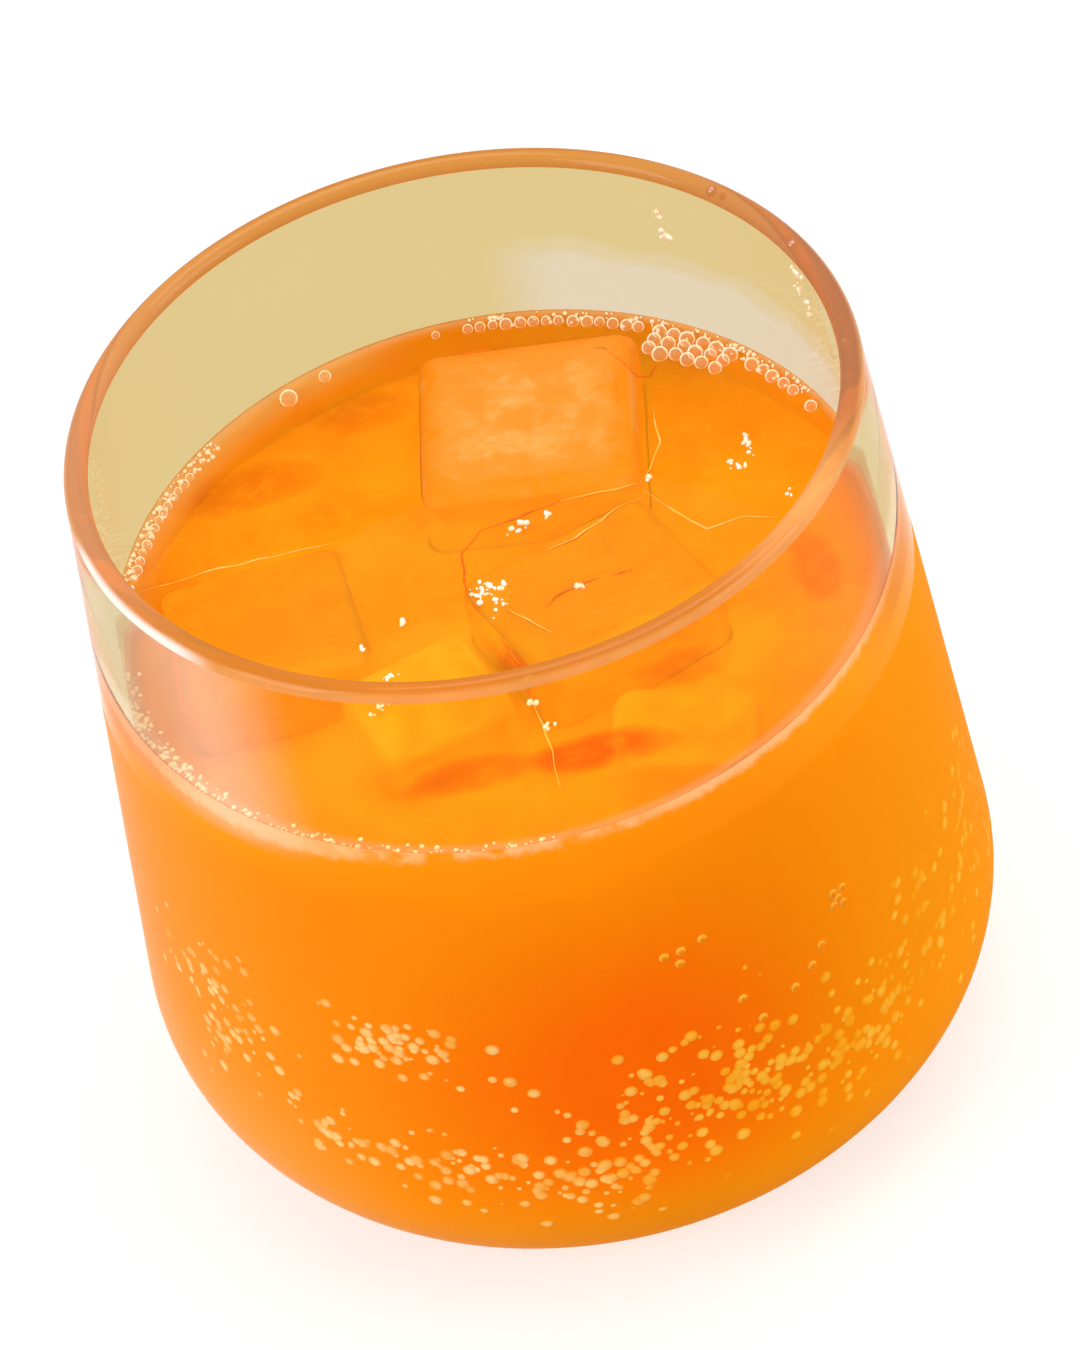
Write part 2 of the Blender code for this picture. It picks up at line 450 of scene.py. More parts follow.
def between(first, second, steps):
    """Points between two points, without the ends."""
    return [
        (first[0] + (second[0] - first[0]) * i / steps, first[1] + (second[1] - first[1]) * i / steps)
        for i in range(1, steps)
    ]


def corner_centre(wall_x, wall_z, flare, corner, floor_z):
    """X of the centre of an arc that is tangent to a floor and to a wall through a point of it."""
    centre_z = floor_z + corner
    return wall_x - (corner + (centre_z - wall_z) * math.sin(flare)) / math.cos(flare)


class Section:
    """The tumbler's half section."""

    def __init__(self, glass):
        self.rim_radius = glass.rim_radius
        self.rim_wall = glass.rim_wall
        self.height = GLASS_HIGH.z
        self.bead = glass.rim_wall / 2

    def outer(self, level):
        """From the middle of the base up to the bead, with a corner at the drink's level."""
        centre_x = corner_centre(self.rim_radius, self.height - self.bead, OUTER_FLARE, OUTER_CORNER, 0.0)
        corner = arc(centre_x, OUTER_CORNER, OUTER_CORNER, -math.pi / 2, OUTER_FLARE, CORNER_STEPS)
        rim = arc(self.rim_radius - self.bead, self.height - self.bead, self.bead, 0.0, math.pi, RIM_STEPS)
        base = [(0.0, 0.0)] + between((0.0, 0.0), corner[0], WALL_STEPS)
        share = (level - corner[-1][1]) / (rim[0][1] - corner[-1][1])
        waterline = (corner[-1][0] + share * (rim[0][0] - corner[-1][0]), level)
        filled = between(corner[-1], waterline, WALL_STEPS) + [waterline]
        return base + corner + filled + between(waterline, rim[0], WALL_STEPS) + rim

    def inner(self, inset=0.0, top=None):
        """Inner side from the wall at a height down to the middle, or a line that far inside it."""
        wall_x = self.rim_radius - self.rim_wall - inset / math.cos(INNER_FLARE)
        corner = INNER_CORNER - inset
        floor_z = BASE_THICKNESS + inset
        centre_x = corner_centre(wall_x, self.height - self.bead, INNER_FLARE, corner, floor_z)
        rounding = arc(centre_x, floor_z + corner, corner, INNER_FLARE, -math.pi / 2, CORNER_STEPS)
        start = (self.inner_radius(top) - inset, top)
        floor = between(rounding[-1], (0.0, floor_z), WALL_STEPS) + [(0.0, floor_z)]
        return between(start, rounding[0], WALL_STEPS) + rounding + floor

    def inner_at(self, z):
        """Radius of the inner side at any height above the floor."""
        wall_x = self.rim_radius - self.rim_wall
        centre_z = BASE_THICKNESS + INNER_CORNER
        centre_x = corner_centre(wall_x, self.height - self.bead, INNER_FLARE, INNER_CORNER, BASE_THICKNESS)
        if z > centre_z + INNER_CORNER * math.sin(INNER_FLARE):
            return self.inner_radius(z)
        return centre_x + math.sqrt(max(0.0, INNER_CORNER**2 - (centre_z - z) ** 2))

    def inner_radius(self, z):
        """Radius of the inner wall at a height above its rounded corner."""
        return self.rim_radius - self.rim_wall + (self.height - self.bead - z) * math.tan(INNER_FLARE)


def polar(out, azimuth, z):
    """A point so far out from the axis, at an azimuth and a height."""
    return Vector((out * math.cos(azimuth), out * math.sin(azimuth), z))


def spin_profile(profile, segments=ROUND_SEGMENTS):
    """A bmesh made by spinning a profile, whose ends lie on the Z axis, once round that axis."""
    form = bmesh.new()
    points = [form.verts.new((x, 0.0, z)) for x, z in profile]
    edges = [form.edges.new(pair) for pair in zip(points, points[1:])]
    bmesh.ops.spin(
        form,
        geom=points + edges,
        cent=(0.0, 0.0, 0.0),
        axis=(0.0, 0.0, 1.0),
        angle=math.tau,
        steps=segments,
        use_merge=True,
    )
    bmesh.ops.remove_doubles(form, verts=form.verts, dist=MERGE)
    bmesh.ops.recalc_face_normals(form, faces=form.faces)
    return form


def from_settings(context):
    """The tumbler's section and the settings of the drink."""
    return Section(context.scene.kombucha_glass), context.scene.kombucha_drink


def mesh_of(name, form, materials):
    """A mesh with its materials, made of a bmesh, which is used up."""
    mesh = bpy.data.meshes.new(name)
    form.to_mesh(mesh)
    form.free()
    for made_of in materials:
        mesh.materials.append(made_of)
    return mesh


def show(name, data):
    """Adds an object to the scene."""
    thing = bpy.data.objects.new(name, data)
    bpy.context.scene.collection.objects.link(thing)
    return thing


def finish_piece(name, form, materials, replaced=None, sharp=math.radians(50)):
    """Makes a bmesh a shown piece of the object, which rides on its body."""
    mesh = mesh_of(name, form, materials)
    mesh.shade_smooth()
    mesh.set_sharp_from_angle(angle=sharp)
    piece = show(name, mesh)
    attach(piece, BODY)
    if replaced:
        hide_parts(replaced)
    return piece


def wall_finish(glass, level):
    """Clear glass, tinted yellow above the drink at the back, where a lit wall shows pale bands: a painted
    window reflection at the back right, and a coat at the front left that reflects the window lamp.
    """
    finish = Finish("tinted_glass")
    x, y, z = finish.xyz()
    widest = GLASS_HIGH.x
    across = x / widest
    inward = y / widest
    back = inward.step(TINT_START, TINT_FULL)
    over_drink = (z + inward.step(0.0, 0.2) * BACK_DROP).step(level - TINT_BLUR, level + TINT_BLUR)
    patch = finish.noise(18 * MM, detail=1.0)
    paler = tuple(min(1.0, c * TINT_SPREAD) for c in glass.wall_colour)
    tint = finish.mix(patch, glass.wall_colour, paler)
    sides = (x * x).step((0.70 * widest) ** 2, (0.86 * widest) ** 2)
    left_band = across.step(-0.48, -0.68) * across.step(-0.90, -0.84) * (0 - inward).step(0.05, 0.25)
    left_band = left_band * (0.25 + 0.6 * across.step(-0.84, -0.66))
    edge = finish.noise(9 * MM, detail=1.0)
    # Painted reflection of a window: a pale band in the tint at the back right, up to a wavy top
    painted_window_band = across.step(0.10, 0.30) * inward.step(0.05, 0.25)
    painted_window_band = painted_window_band * (1 - (z + edge * BAND_WAVE).step(BAND_TOP - MM, BAND_TOP + MM))
    tint = finish.mix(painted_window_band, tint, glass.painted_window_colour)
    colour = finish.mix(back.most(sides) * over_drink, glass.clear_colour, tint)
    finish.set(
        Base_Color=colour,
        Roughness=0.0,
        IOR=GLASS_IOR,
        Specular_Tint=(*REFLECTION_TINT, 1.0),
        Transmission_Weight=1.0,
        Coat_Weight=left_band * over_drink,
        Coat_Roughness=0.05,
        Coat_IOR=BAND_IOR,
    )
    finish.let_lamps_through(glass.clear_colour)
    return finish.material


def filled_finish(glass):
    """The wall round the drink. It bends light as thick glass does, so the drink fills it to its outline.
    Low in the base, fading out by 20 mm, the drink's colour reflected inside the thick glass is painted into
    its tint.
    """
    finish = Finish("filled_glass")
    low = finish.xyz()[2]
    finish.set(
        # Painted reflection of the drink in the base, fading out by 20 mm
        Base_Color=finish.mix(low.step(0.0, 20 * MM), glass.base_reflection_colour, glass.clear_colour),
        Roughness=0.0,
        IOR=FILLED_IOR,
        Specular_Tint=(*REFLECTION_TINT, 1.0),
        Transmission_Weight=1.0,
    )
    clear = (*glass.clear_colour, 1.0)
    bent = finish.node("ShaderNodeBsdfRefraction", Color=clear, Roughness=0.0, IOR=FILLED_IOR)
    less = finish.node("ShaderNodeMixShader")
    right = (finish.xyz()[0] / GLASS_HIGH.x).step(-0.95, 0.2)
    put(finish.tree, less.inputs["Fac"], right * (FULL_QUIET - LEFT_QUIET) + LEFT_QUIET)
    put(finish.tree, less.inputs[1], finish.shader.outputs["BSDF"])
    put(finish.tree, less.inputs[2], bent.outputs["BSDF"])
    finish.let_lamps_through(glass.clear_colour, less.outputs["Shader"])
    return finish.material


def rim_finish(glass):
    """The bead, which gathers the drink's colour: brown-pink at the sides, orange at the back, with a
    painted highlight, the white of a window, on its outer edge at the front left.
    """
    finish = Finish("rim_glass")
    x, y = finish.xyz()[:2]
    across = x / glass.rim_radius
    inward = y / glass.rim_radius
    back = inward.step(0.1, 0.95)
    past = (x * x + y * y) ** 0.5 - glass.rim_radius + glass.rim_wall
    outside = past.step(glass.rim_wall * 0.74, glass.rim_wall * 0.96)
    streak = finish.noise(2.5 * MM, detail=3.0)
    side = finish.mix(across.step(-0.5, 0.5), glass.rim_left_colour, glass.rim_right_colour)
    front = (0 - inward).step(0.15, 0.75)
    colour = finish.mix(front, side, glass.rim_front_colour)
    right_front = across.step(0.45, 0.8) * (0 - inward).step(0.30, 0.60)
    pale = (outside * (1 - back) * 0.6).most(right_front * 0.9)
    colour = finish.mix(pale * (0.7 + 0.6 * streak), colour, glass.rim_edge_colour)
    # Painted highlight: the white of a window on the outer edge at the front left
    shine = outside * across.step(-0.70, -0.80) * (0 - inward).step(0.12, 0.25)
    colour = finish.mix(shine, colour, SHINE)
    colour = finish.mix(back, colour, glass.rim_back_colour)
    finish.set(
        Base_Color=colour,
        Roughness=0.08,
        IOR=GLASS_IOR,
        Transmission_Weight=0.2,
        Coat_Weight=0.3,
        Coat_Roughness=0.03,
    )
    finish.let_lamps_through(RIM_LAMP_TINT)
    return finish.material


class KOMBUCHA_OT_glass(bpy.types.Operator):
    """Make the tumbler"""

    bl_idname = "kombucha.glass"
    bl_label = "Glass"

    def execute(self, context):
        glass = context.scene.kombucha_glass
        section = Section(glass)
        level = context.scene.kombucha_drink.level
        outer = section.outer(level - FILLED_DROP)
        inner_top = outer[-1]
        profile = outer + section.inner(0.0, inner_top[1])
        form = spin_profile(profile)
        rim_low = section.height - glass.rim_wall * RIM_SHARE
        for face in form.faces:
            high = face.calc_center_median().z
            face.material_index = 1 if high > rim_low else 2 if high < level - FILLED_DROP else 0
        materials = [wall_finish(glass, level), rim_finish(glass), filled_finish(glass)]
        finish_piece("tumbler", form, materials, "glass")
        return {"FINISHED"}


def ice_frame(ice, level):
    """Places a cube of ice: its turn and tilt, with its top at its height over the drink."""
    height = ice["size"][2]
    middle = Vector((*ice["middle"], level + ice["above"] - height / 2))
    return Matrix.Translation(middle) @ Euler(ice["turn"], "XYZ").to_matrix().to_4x4()


def rounded_block(size, extra, taper, steps=ICE_ROUND_STEPS):
    """A block with rounded edges, a little narrower at the bottom, larger all round by extra."""
    form = bmesh.new()
    bmesh.ops.create_cube(form, size=1.0)
    for vert in form.verts:
        narrower = 1.0 - taper * (0.5 - vert.co.z)
        vert.co.x *= size[0] * narrower + 2 * extra
        vert.co.y *= size[1] * narrower + 2 * extra
        vert.co.z *= size[2] + 2 * extra
    bmesh.ops.bevel(
        form,
        geom=list(form.edges),
        offset=ICE_ROUND,
        offset_type="OFFSET",
        segments=steps,
        profile=0.5,
        affect="EDGES",
        material=-1,
    )
    return form


def add_relief(form, seed):
    """Hollows the block's faces unevenly, as melting does, with a finer ripple over that."""
    broad = max(face.calc_area() for face in form.faces) * BROAD_SHARE
    edges = {edge for face in form.faces if face.calc_area() > broad for edge in face.edges}
    bmesh.ops.subdivide_edges(form, edges=list(edges), cuts=ICE_CUTS, use_grid_fill=True)
    form.normal_update()
    shift = Vector((seed, 0.0, 0.0))
    for vert in form.verts:
        wave = noise.noise(vert.co / ICE_RELIEF_SIZE + shift)
        fine = noise.noise(vert.co / FINE_RELIEF_SIZE - shift)
        vert.co -= vert.normal * (ICE_RELIEF * (0.5 + 0.5 * wave) + FINE_RELIEF * fine)


def mark_edges(form, size):
    """Keeps on each point how near it is to a rounded edge: 0 on a face and 1 along the edge."""
    layer = form.verts.layers.float.new("edge")
    border = form.verts.layers.float.new("border")
    for vert in form.verts:
        vert[border] = max(abs(c) / (s / 2) for c, s in zip(vert.co.xy, size))
        past = sorted(max(0.0, abs(c) - s / 2 + ICE_ROUND) / ICE_ROUND for c, s in zip(vert.co, size))
        vert[layer] = min(1.0, past[1] / EDGE_SHARE)


def make_cube(ice, level):
    """A melted cube of ice in its place."""
    form = rounded_block(ice["size"], 0.0, ice["taper"])
    add_relief(form, ice["seed"])
    mark_edges(form, ice["size"])
    bmesh.ops.transform(form, matrix=ice_frame(ice, level), verts=form.verts)
    bmesh.ops.recalc_face_normals(form, faces=form.faces)
    return form


# Colours of ice, as top, side and edge: the paler and the darker cloud, the darker also the painted shade in
# the ripples' hollows, and the paler colour of the painted highlights on the ripples' crests and along the
# rounded edges
PALE_ICE = ((0.88, 0.42, 0.09), (0.88, 0.33, 0.035), (0.95, 0.50, 0.17))
WET_ICE = ((0.94, 0.30, 0.006), (0.90, 0.235, 0.003), (0.96, 0.36, 0.035))


def ice_finish(name, shades, around, clear):
    """Ice in orange light: a cloudy top that fades into the drink at its border, with painted highlights on
    the ripples' crests and painted shade in their hollows, and a few pale lines of painted highlight along
    the rounded edges.
    """
    top, side, edge = shades
    finish = Finish(name)
    cloud = finish.noise(3.5 * MM, detail=4.0)
    ripple = finish.noise(0.9 * MM, detail=5.0, roughness=0.65, stretch=(0.55, 1.0, 1.0))
    body = finish.mix(cloud.step(0.35, 0.68), side, top)
    # Painted highlight on the ripples' crests, which the bump raises
    body = finish.mix(ripple.step(0.50, 0.68) * cloud.step(0.38, 0.60) * 0.6, body, edge)
    # Painted shade in the ripples' hollows
    body = finish.mix((1 - ripple.step(0.33, 0.46)) * 0.6, body, side)
    body = finish.mix((1 - finish.xyz()[1].step(8 * MM, 18 * MM)) * 0.6, body, around)
    fade = finish.attribute("border") + (cloud - 0.5) * 0.9
    body = finish.mix(fade.step(0.55, 0.95) * 0.95, body, around)
    # Painted highlight: pale lines along some of the rounded edges
    line = finish.attribute("edge").step(0.55, 1.0) * finish.noise(7 * MM).step(0.50, 0.60)
    finish.set(
        Base_Color=finish.mix(line * 0.4, body, edge),
        Roughness=0.10,
        IOR=ICE_IOR,
        Specular_Tint=(*REFLECTION_TINT, 1.0),
        Transmission_Weight=clear,
        Normal=finish.bump(ripple, 0.25 * MM, 0.5, finish.softened(2.5)),
    )
    finish.let_lamps_through(LAMP_TINT)
    return finish.material


class KOMBUCHA_OT_ice(bpy.types.Operator):
    """Make the cubes of ice that break the surface"""

    bl_idname = "kombucha.ice"
    bl_label = "Ice"

    def execute(self, context):
        drink = context.scene.kombucha_drink
        pale = ice_finish("pale_ice", PALE_ICE, drink.colour, 0.15)
        wet = ice_finish("wet_ice", WET_ICE, drink.light_colour, 0.30)
        for name, ice in CUBES.items():
            material = pale if name == "ice_back" else wet
            finish_piece("cube_" + name.split("_")[1], make_cube(ice, drink.level), [material], name)
        return {"FINISHED"}


def sunken_finish():
    """Ice under the surface, seen through the drink, with painted highlights along its rounded edges."""
    finish = Finish("sunken_ice")
    cloud = finish.noise(3 * MM, detail=4.0)
    body = finish.mix(cloud.step(0.35, 0.65), (0.95, 0.52, 0.14), (0.98, 0.78, 0.36))
    # Painted highlight along the rounded edges
    line = finish.attribute("edge").step(0.35, 1.0)
    finish.matt(finish.mix(line, body, (1.0, 0.95, 0.75)))
    return finish.material


class KOMBUCHA_OT_sunken_ice(bpy.types.Operator):
    """Make the cubes of ice that lie under the surface"""

    bl_idname = "kombucha.sunken_ice"
    bl_label = "Sunken ice"

    def execute(self, context):
        drink = context.scene.kombucha_drink
        material = sunken_finish()
        for name, ice in SUNKEN_CUBES.items():
            finish_piece(name, make_cube(ice, drink.level), [material])
        return {"FINISHED"}


def drink_profile(section, level):
    """The drink's half section: its flat top, the meniscus that climbs the wall, then the glass's shape."""
    top = level + MENISCUS_RISE
    wall = section.inner_radius(top) + INTO_WALL
    start = wall - MENISCUS_WIDTH
    flat = [(0.0, level)] + between((0.0, level), (start, level), SURFACE_RINGS)
    climb = [
        (start + MENISCUS_WIDTH * i / MENISCUS_STEPS, level + MENISCUS_RISE * (i / MENISCUS_STEPS) ** 2)
        for i in range(MENISCUS_STEPS + 1)
    ]
    return flat + climb + section.inner(-INTO_WALL, top)


# Soft patches of the drink's surface, of painted shade in the dark ones and painted light in the light ones:
# middle and reach in millimetres, and share of colour
DARK_PATCHES = (
    ((6, -28), (8, 3.2), 0.88),
    ((-7, -27.5), (8, 3), 0.60),
    ((16, -19), (6, 3), 0.45),
    ((-23, 21), (9, 4), 0.45),
    ((1, -14), (3.5, 4.5), 0.65),
    ((31, -9), (3, 6), 0.45),
    ((-34, 6), (6, 5), 0.35),
    ((-10, 28.5), (7, 3.5), 0.35),
)
LIGHT_PATCHES = (
    ((-10, -10), (9, 6), 0.5),
    ((-17, -20), (6, 6), 0.7),
    ((22, -17), (5, 6), 0.5),
    ((-4, 6), (6, 4), 0.6),
    ((25, 3), (6, 4), 0.4),
)


# The pale line where the surface meets the wall, foam and a painted highlight on the meniscus, and the pale
# edge at the back left, a painted glow of light
FOAM_AND_HIGHLIGHT_LINE = 1.9 * MM
FOAM_AND_HIGHLIGHT_LINE_LESS = 1.0 * MM
FOAM_AND_HIGHLIGHT_LINE_BLUR = 1.3 * MM
BACK_LINE = (1.0, 0.78, 0.42)
EDGE_GLOW = (1.0, 0.66, 0.20)
EDGE_GLOW_WIDTH = 4.5 * MM
EDGE_GLOW_BLUR = 5.0 * MM


def drink_top_finish(drink, waterline):
    """The drink's surface: wet and hazy, so that ice shows faintly in it, with patches of painted shade and
    painted light, a pale line at the wall of foam and a painted highlight on the meniscus, and a painted
    glow at the back left.
    """
    finish = Finish("kombucha_surface")
    x, y = finish.xyz()[:2]
    radius = (x * x + y * y) ** 0.5
    cloud = finish.noise(9 * MM, detail=4.0)
    colour = finish.mix(cloud.step(0.15, 0.55), drink.colour, drink.light_colour)
    for patches, shade in ((DARK_PATCHES, drink.shade_colour), (LIGHT_PATCHES, drink.glow_colour)):
        for middle, reach, share in patches:
            colour = finish.mix(finish.patch(x, y, middle, reach) * share, colour, shade)
    grain = finish.noise(1.6 * MM, detail=5.0, roughness=0.6)
    colour = finish.mix(grain.step(0.45, 0.70) * 0.35, colour, drink.glow_colour)
    back = (y / waterline).step(-0.2, 0.3)
    # Pale line at the wall, foam and a painted highlight on the meniscus, narrower and yellower at the back
    pale_line_width = FOAM_AND_HIGHLIGHT_LINE - back * FOAM_AND_HIGHLIGHT_LINE_LESS
    rim_line = (radius - waterline + pale_line_width).step(0.0, FOAM_AND_HIGHLIGHT_LINE_BLUR)
    # Painted glow of light along the wall at the back left
    back_left = (y / waterline).step(0.0, 0.5) * (0 - x / waterline).step(0.05, 0.35)
    glow = (radius - waterline + EDGE_GLOW_WIDTH).step(0.0, EDGE_GLOW_BLUR) * back_left
    colour = finish.mix(glow * 0.8, colour, EDGE_GLOW)
    line_colour = finish.mix(back, drink.foam_and_highlight_colour, BACK_LINE)
    finish.set(
        Base_Color=finish.mix(rim_line * 0.8, colour, line_colour),
        Roughness=0.03,
        IOR=1.22,
        Specular_Tint=(*REFLECTION_TINT, 1.0),
        Transmission_Weight=0.5,
        Normal=finish.bump(finish.noise(6 * MM, detail=3.0), 0.3 * MM, 0.35),
    )
    finish.let_lamps_through(LAMP_TINT)
    return finish.material


# Where the drink looks deepest, as shares of the greatest radius and as heights
DEEP_SIDE = 0.04
DEEP_WIDTH = 0.56
DEEP_HEIGHT = 32 * MM
DEEP_TALL = 24 * MM
# The pale line at the waterline: foam and a painted highlight on the meniscus
LINE_DEPTH = 1.0 * MM
LINE_BLUR = 0.3 * MM
LINE_THICKER = 1.1 * MM
LINE_WAVE = 1.6 * MM


def drink_side_finish(drink):
    """The hazy drink behind the glass: redder low in the middle, yellower to the right and above, with a
    pale line at the waterline of foam and a painted highlight on the meniscus.
    """
    finish = Finish("kombucha_side")
    x, y, z = finish.xyz()
    widest = GLASS_HIGH.x
    side = x / widest
    across = (side - DEEP_SIDE) / DEEP_WIDTH
    upward = (z - DEEP_HEIGHT) / DEEP_TALL
    away = (across * across + upward * upward) ** 0.5
    cloud = finish.noise(14 * MM, detail=2.0)
    deep = (1 - away.step(0.15, 1.15)) * (0.75 + 0.5 * cloud)
    right = side.step(0.30, 0.95)
    left = (0 - side).step(0.45, 0.98)
    colour = finish.mix(deep.least(1.0), drink.colour, drink.deep_colour)
    colour = finish.mix((right + left * 0.6) * 0.9, colour, drink.light_colour)
    colour = finish.mix((1 - z.step(8 * MM, 20 * MM)) * 0.8, colour, drink.light_colour)
    low_left = left * (1 - z.step(6 * MM, 30 * MM))
    colour = finish.mix(low_left * 0.5, colour, drink.foam_and_highlight_colour)
    # Pale line at the waterline, foam and a painted highlight on the meniscus, broken in the middle
    broken = finish.noise(3.0 * MM, detail=3.0).step(0.36, 0.62)
    whole = side.step(0.05, 0.3).most((0 - side).step(0.3, 0.6))
    wave = (finish.noise(1.2 * MM, detail=3.0) - 0.5) * LINE_WAVE
    thicker = (0 - side).step(0.15, 0.6) * LINE_THICKER + wave
    line = (z + thicker).step(drink.level - LINE_DEPTH, drink.level + LINE_BLUR) * broken.most(whole)
    colour = finish.mix(line * 0.95, colour, drink.foam_and_highlight_colour)
    finish.matt(colour)
    return finish.material


# The sheet of haze under the surface
HAZE_DEPTH = 9.0 * MM
HAZE_THICKNESS = 3.0 * MM
HAZE_RINGS = 24
HAZE_RELIEF = 1.2 * MM
HAZE_RELIEF_SIZE = 9.0 * MM
HAZE_REACH = 0.05 * MM


def pocket_finish():
    """The drink's wall behind the ice, and the haze below the surface."""
    finish = Finish("kombucha_haze")
    cloud = finish.noise(7 * MM, detail=4.0)
    finish.matt(finish.mix(cloud.step(0.3, 0.7), (0.96, 0.50, 0.12), (0.98, 0.72, 0.26)))
    return finish.material


def cut(thing, operands):
    """Cuts a piece with all the operands at once, applies the result and removes them."""
    group = bpy.data.collections.new("operands")
    for operand in operands:
        group.objects.link(operand)
    bpy.context.scene.collection.children.link(group)
    step = thing.modifiers.new("step", "BOOLEAN")
    step.operation = "DIFFERENCE"
    step.operand_type = "COLLECTION"
    step.collection = group
    step.solver = "EXACT"
    shape = thing.evaluated_get(bpy.context.evaluated_depsgraph_get())
    mesh = bpy.data.meshes.new_from_object(shape)
    thing.modifiers.clear()
    thing.data = mesh
    for operand in operands:
        bpy.data.objects.remove(operand)
    bpy.data.collections.remove(group)


def ice_blocks(level, extra, materials, index):
    """A plain block for each cube that breaks the surface, larger all round by extra."""
    blocks = []
    for name, ice in CUBES.items():
        block = rounded_block(ice["size"], extra, ice["taper"])
        bmesh.ops.transform(block, matrix=ice_frame(ice, level), verts=block.verts)
        for face in block.faces:
            face.material_index = index
        mesh = mesh_of("block_" + name, block, materials)
        blocks.append(bpy.data.objects.new("block_" + name, mesh))
    return blocks


class KOMBUCHA_OT_drink(bpy.types.Operator):
    """Fill the glass with the drink, cut round the ice, and with haze that hides its depth"""

    bl_idname = "kombucha.drink"
    bl_label = "Drink"

    def execute(self, context):
        section, drink = from_settings(context)
        form = spin_profile(drink_profile(section, drink.level))
        for face in form.faces:
            middle = face.calc_center_median()
            face.material_index = 0 if face.normal.z > 0.2 and middle.z > drink.level - MM else 1
        haze = pocket_finish()
        top = drink_top_finish(drink, section.inner_radius(drink.level))
        materials = [top, drink_side_finish(drink), haze]
        piece = finish_piece("kombucha", form, materials, "drink")
        cut(piece, ice_blocks(drink.level, -INTO_ICE, materials, 2))

        high = drink.level - HAZE_DEPTH
        low = high - HAZE_THICKNESS
        reach = section.inner_radius(high) + HAZE_REACH
        across = [(0.0, high)] + between((0.0, high), (reach, high), HAZE_RINGS) + [(reach, high)]
        form = spin_profile(across + [(reach, low), (0.0, low)], ROUND_SEGMENTS // 2)
        for vert in form.verts:
            vert.co.z += HAZE_RELIEF * noise.noise(vert.co / HAZE_RELIEF_SIZE)
        sheet = finish_piece("haze", form, [haze])
        cut(sheet, ice_blocks(drink.level, INTO_ICE, [haze], 0))
        return {"FINISHED"}


def bubble_place(section, level, azimuth, radius, row):
    """Centre of a bubble that floats at an azimuth, so many bubbles in from the wall."""
    from_wall = FRAME_GAP + WALL_CLEARANCE + radius * (1 + BUBBLE_ROW_STEP * row)
    out = section.inner_radius(level + 2 * radius) - from_wall
    return polar(out, azimuth, level + BUBBLE_SINK * radius)


def from_cube(point, ice, level):
    """How far a point is from a cube's rounded surface, less than nothing inside it."""
    local = ice_frame(ice, level).inverted() @ point
    past = [abs(c) - size / 2 + ICE_ROUND for c, size in zip(local, ice["size"])]
    return math.hypot(*(max(p, 0.0) for p in past)) + min(max(past), 0.0) - ICE_ROUND


def clear_of_ice(point, level, gap):
    """Whether a point is more than a gap away from each cube that breaks the surface."""
    return all(from_cube(point, ice, level) > gap for ice in CUBES.values())


def bubble_list(section, level):
    """Centre and radius of each bubble on the drink that is clear of the ice, as the frame has them."""
    draw = random.Random(BUBBLE_SEED)
    waterline = section.inner_radius(level)
    found = []
    for first, last, wide, rows in BUBBLE_ROWS:
        radius = wide * MM
        for row in range(rows):
            azimuth = math.radians(first)
            while azimuth > math.radians(last):
                size = radius * (1 + BUBBLE_SIZE_SPREAD * draw.uniform(-1.0, 1.0))
                found.append((bubble_place(section, level, azimuth, size, row), size))
                azimuth -= BUBBLE_SPACING * radius / waterline * draw.uniform(1.0, BUBBLE_SPACING_SPREAD)
    for azimuth, wide in LONE_BUBBLES:
        found.append((bubble_place(section, level, math.radians(azimuth), wide * MM, 0), wide * MM))
    return [(middle, radius) for middle, radius in found if clear_of_ice(middle, level, radius + FRAME_GAP)]


def balls(places, sides, rings, flat=1.0):
    """One bmesh with a small ball at each place, which keeps how far each point turns away from outwards.

    A ball may be flatter along the direction outwards, by a share of its radius.
    """
    ball = bmesh.new()
    layer = ball.verts.layers.float.new("turned_away")
    bmesh.ops.create_uvsphere(ball, u_segments=sides, v_segments=rings, radius=1.0)
    for vert in ball.verts:
        vert[layer] = 1.0 - max(0.0, vert.co.x)
    form = bmesh.new()
    for middle, radius in places:
        mesh = bpy.data.meshes.new("ball")
        ball.to_mesh(mesh)
        turn = Matrix.Rotation(math.atan2(middle.y, middle.x), 4, "Z")
        size = Matrix.Diagonal((radius * flat, radius, radius, 1.0))
        mesh.transform(Matrix.Translation(middle) @ turn @ size)
        form.from_mesh(mesh)
        bpy.data.meshes.remove(mesh)
    ball.free()
    return form


def bubble_finish():
    """Thin clear film over air, bright along its outline: a painted highlight there, more opaque and faintly
    glowing.
    """
    finish = Finish("bubble_film")
    facing = finish.facing()
    speck = finish.noise(0.7 * MM)
    finish.set(
        Base_Color=finish.mix(speck.step(0.4, 0.6), (1.0, 0.80, 0.52), (1.0, 0.95, 0.86)),
        Roughness=0.08,
        # Painted highlight along the outline: more opaque and glowing there
        Alpha=facing.step(0.22, 0.66) * 0.80 + 0.14,
        Emission_Color=finish.mix(facing.step(0.30, 0.62), (0.0, 0.0, 0.0), (1.0, 0.88, 0.68)),
        Emission_Strength=0.35,
        Coat_Weight=1.0,
    )
    return finish.material


class KOMBUCHA_OT_bubbles(bpy.types.Operator):
    """Make the bubbles that float at the waterline"""

    bl_idname = "kombucha.bubbles"
    bl_label = "Bubbles"

    def execute(self, context):
        section, drink = from_settings(context)
        form = balls(bubble_list(section, drink.level), 16, 10)
        finish_piece("surface_bubbles", form, [bubble_finish()])
        return {"FINISHED"}


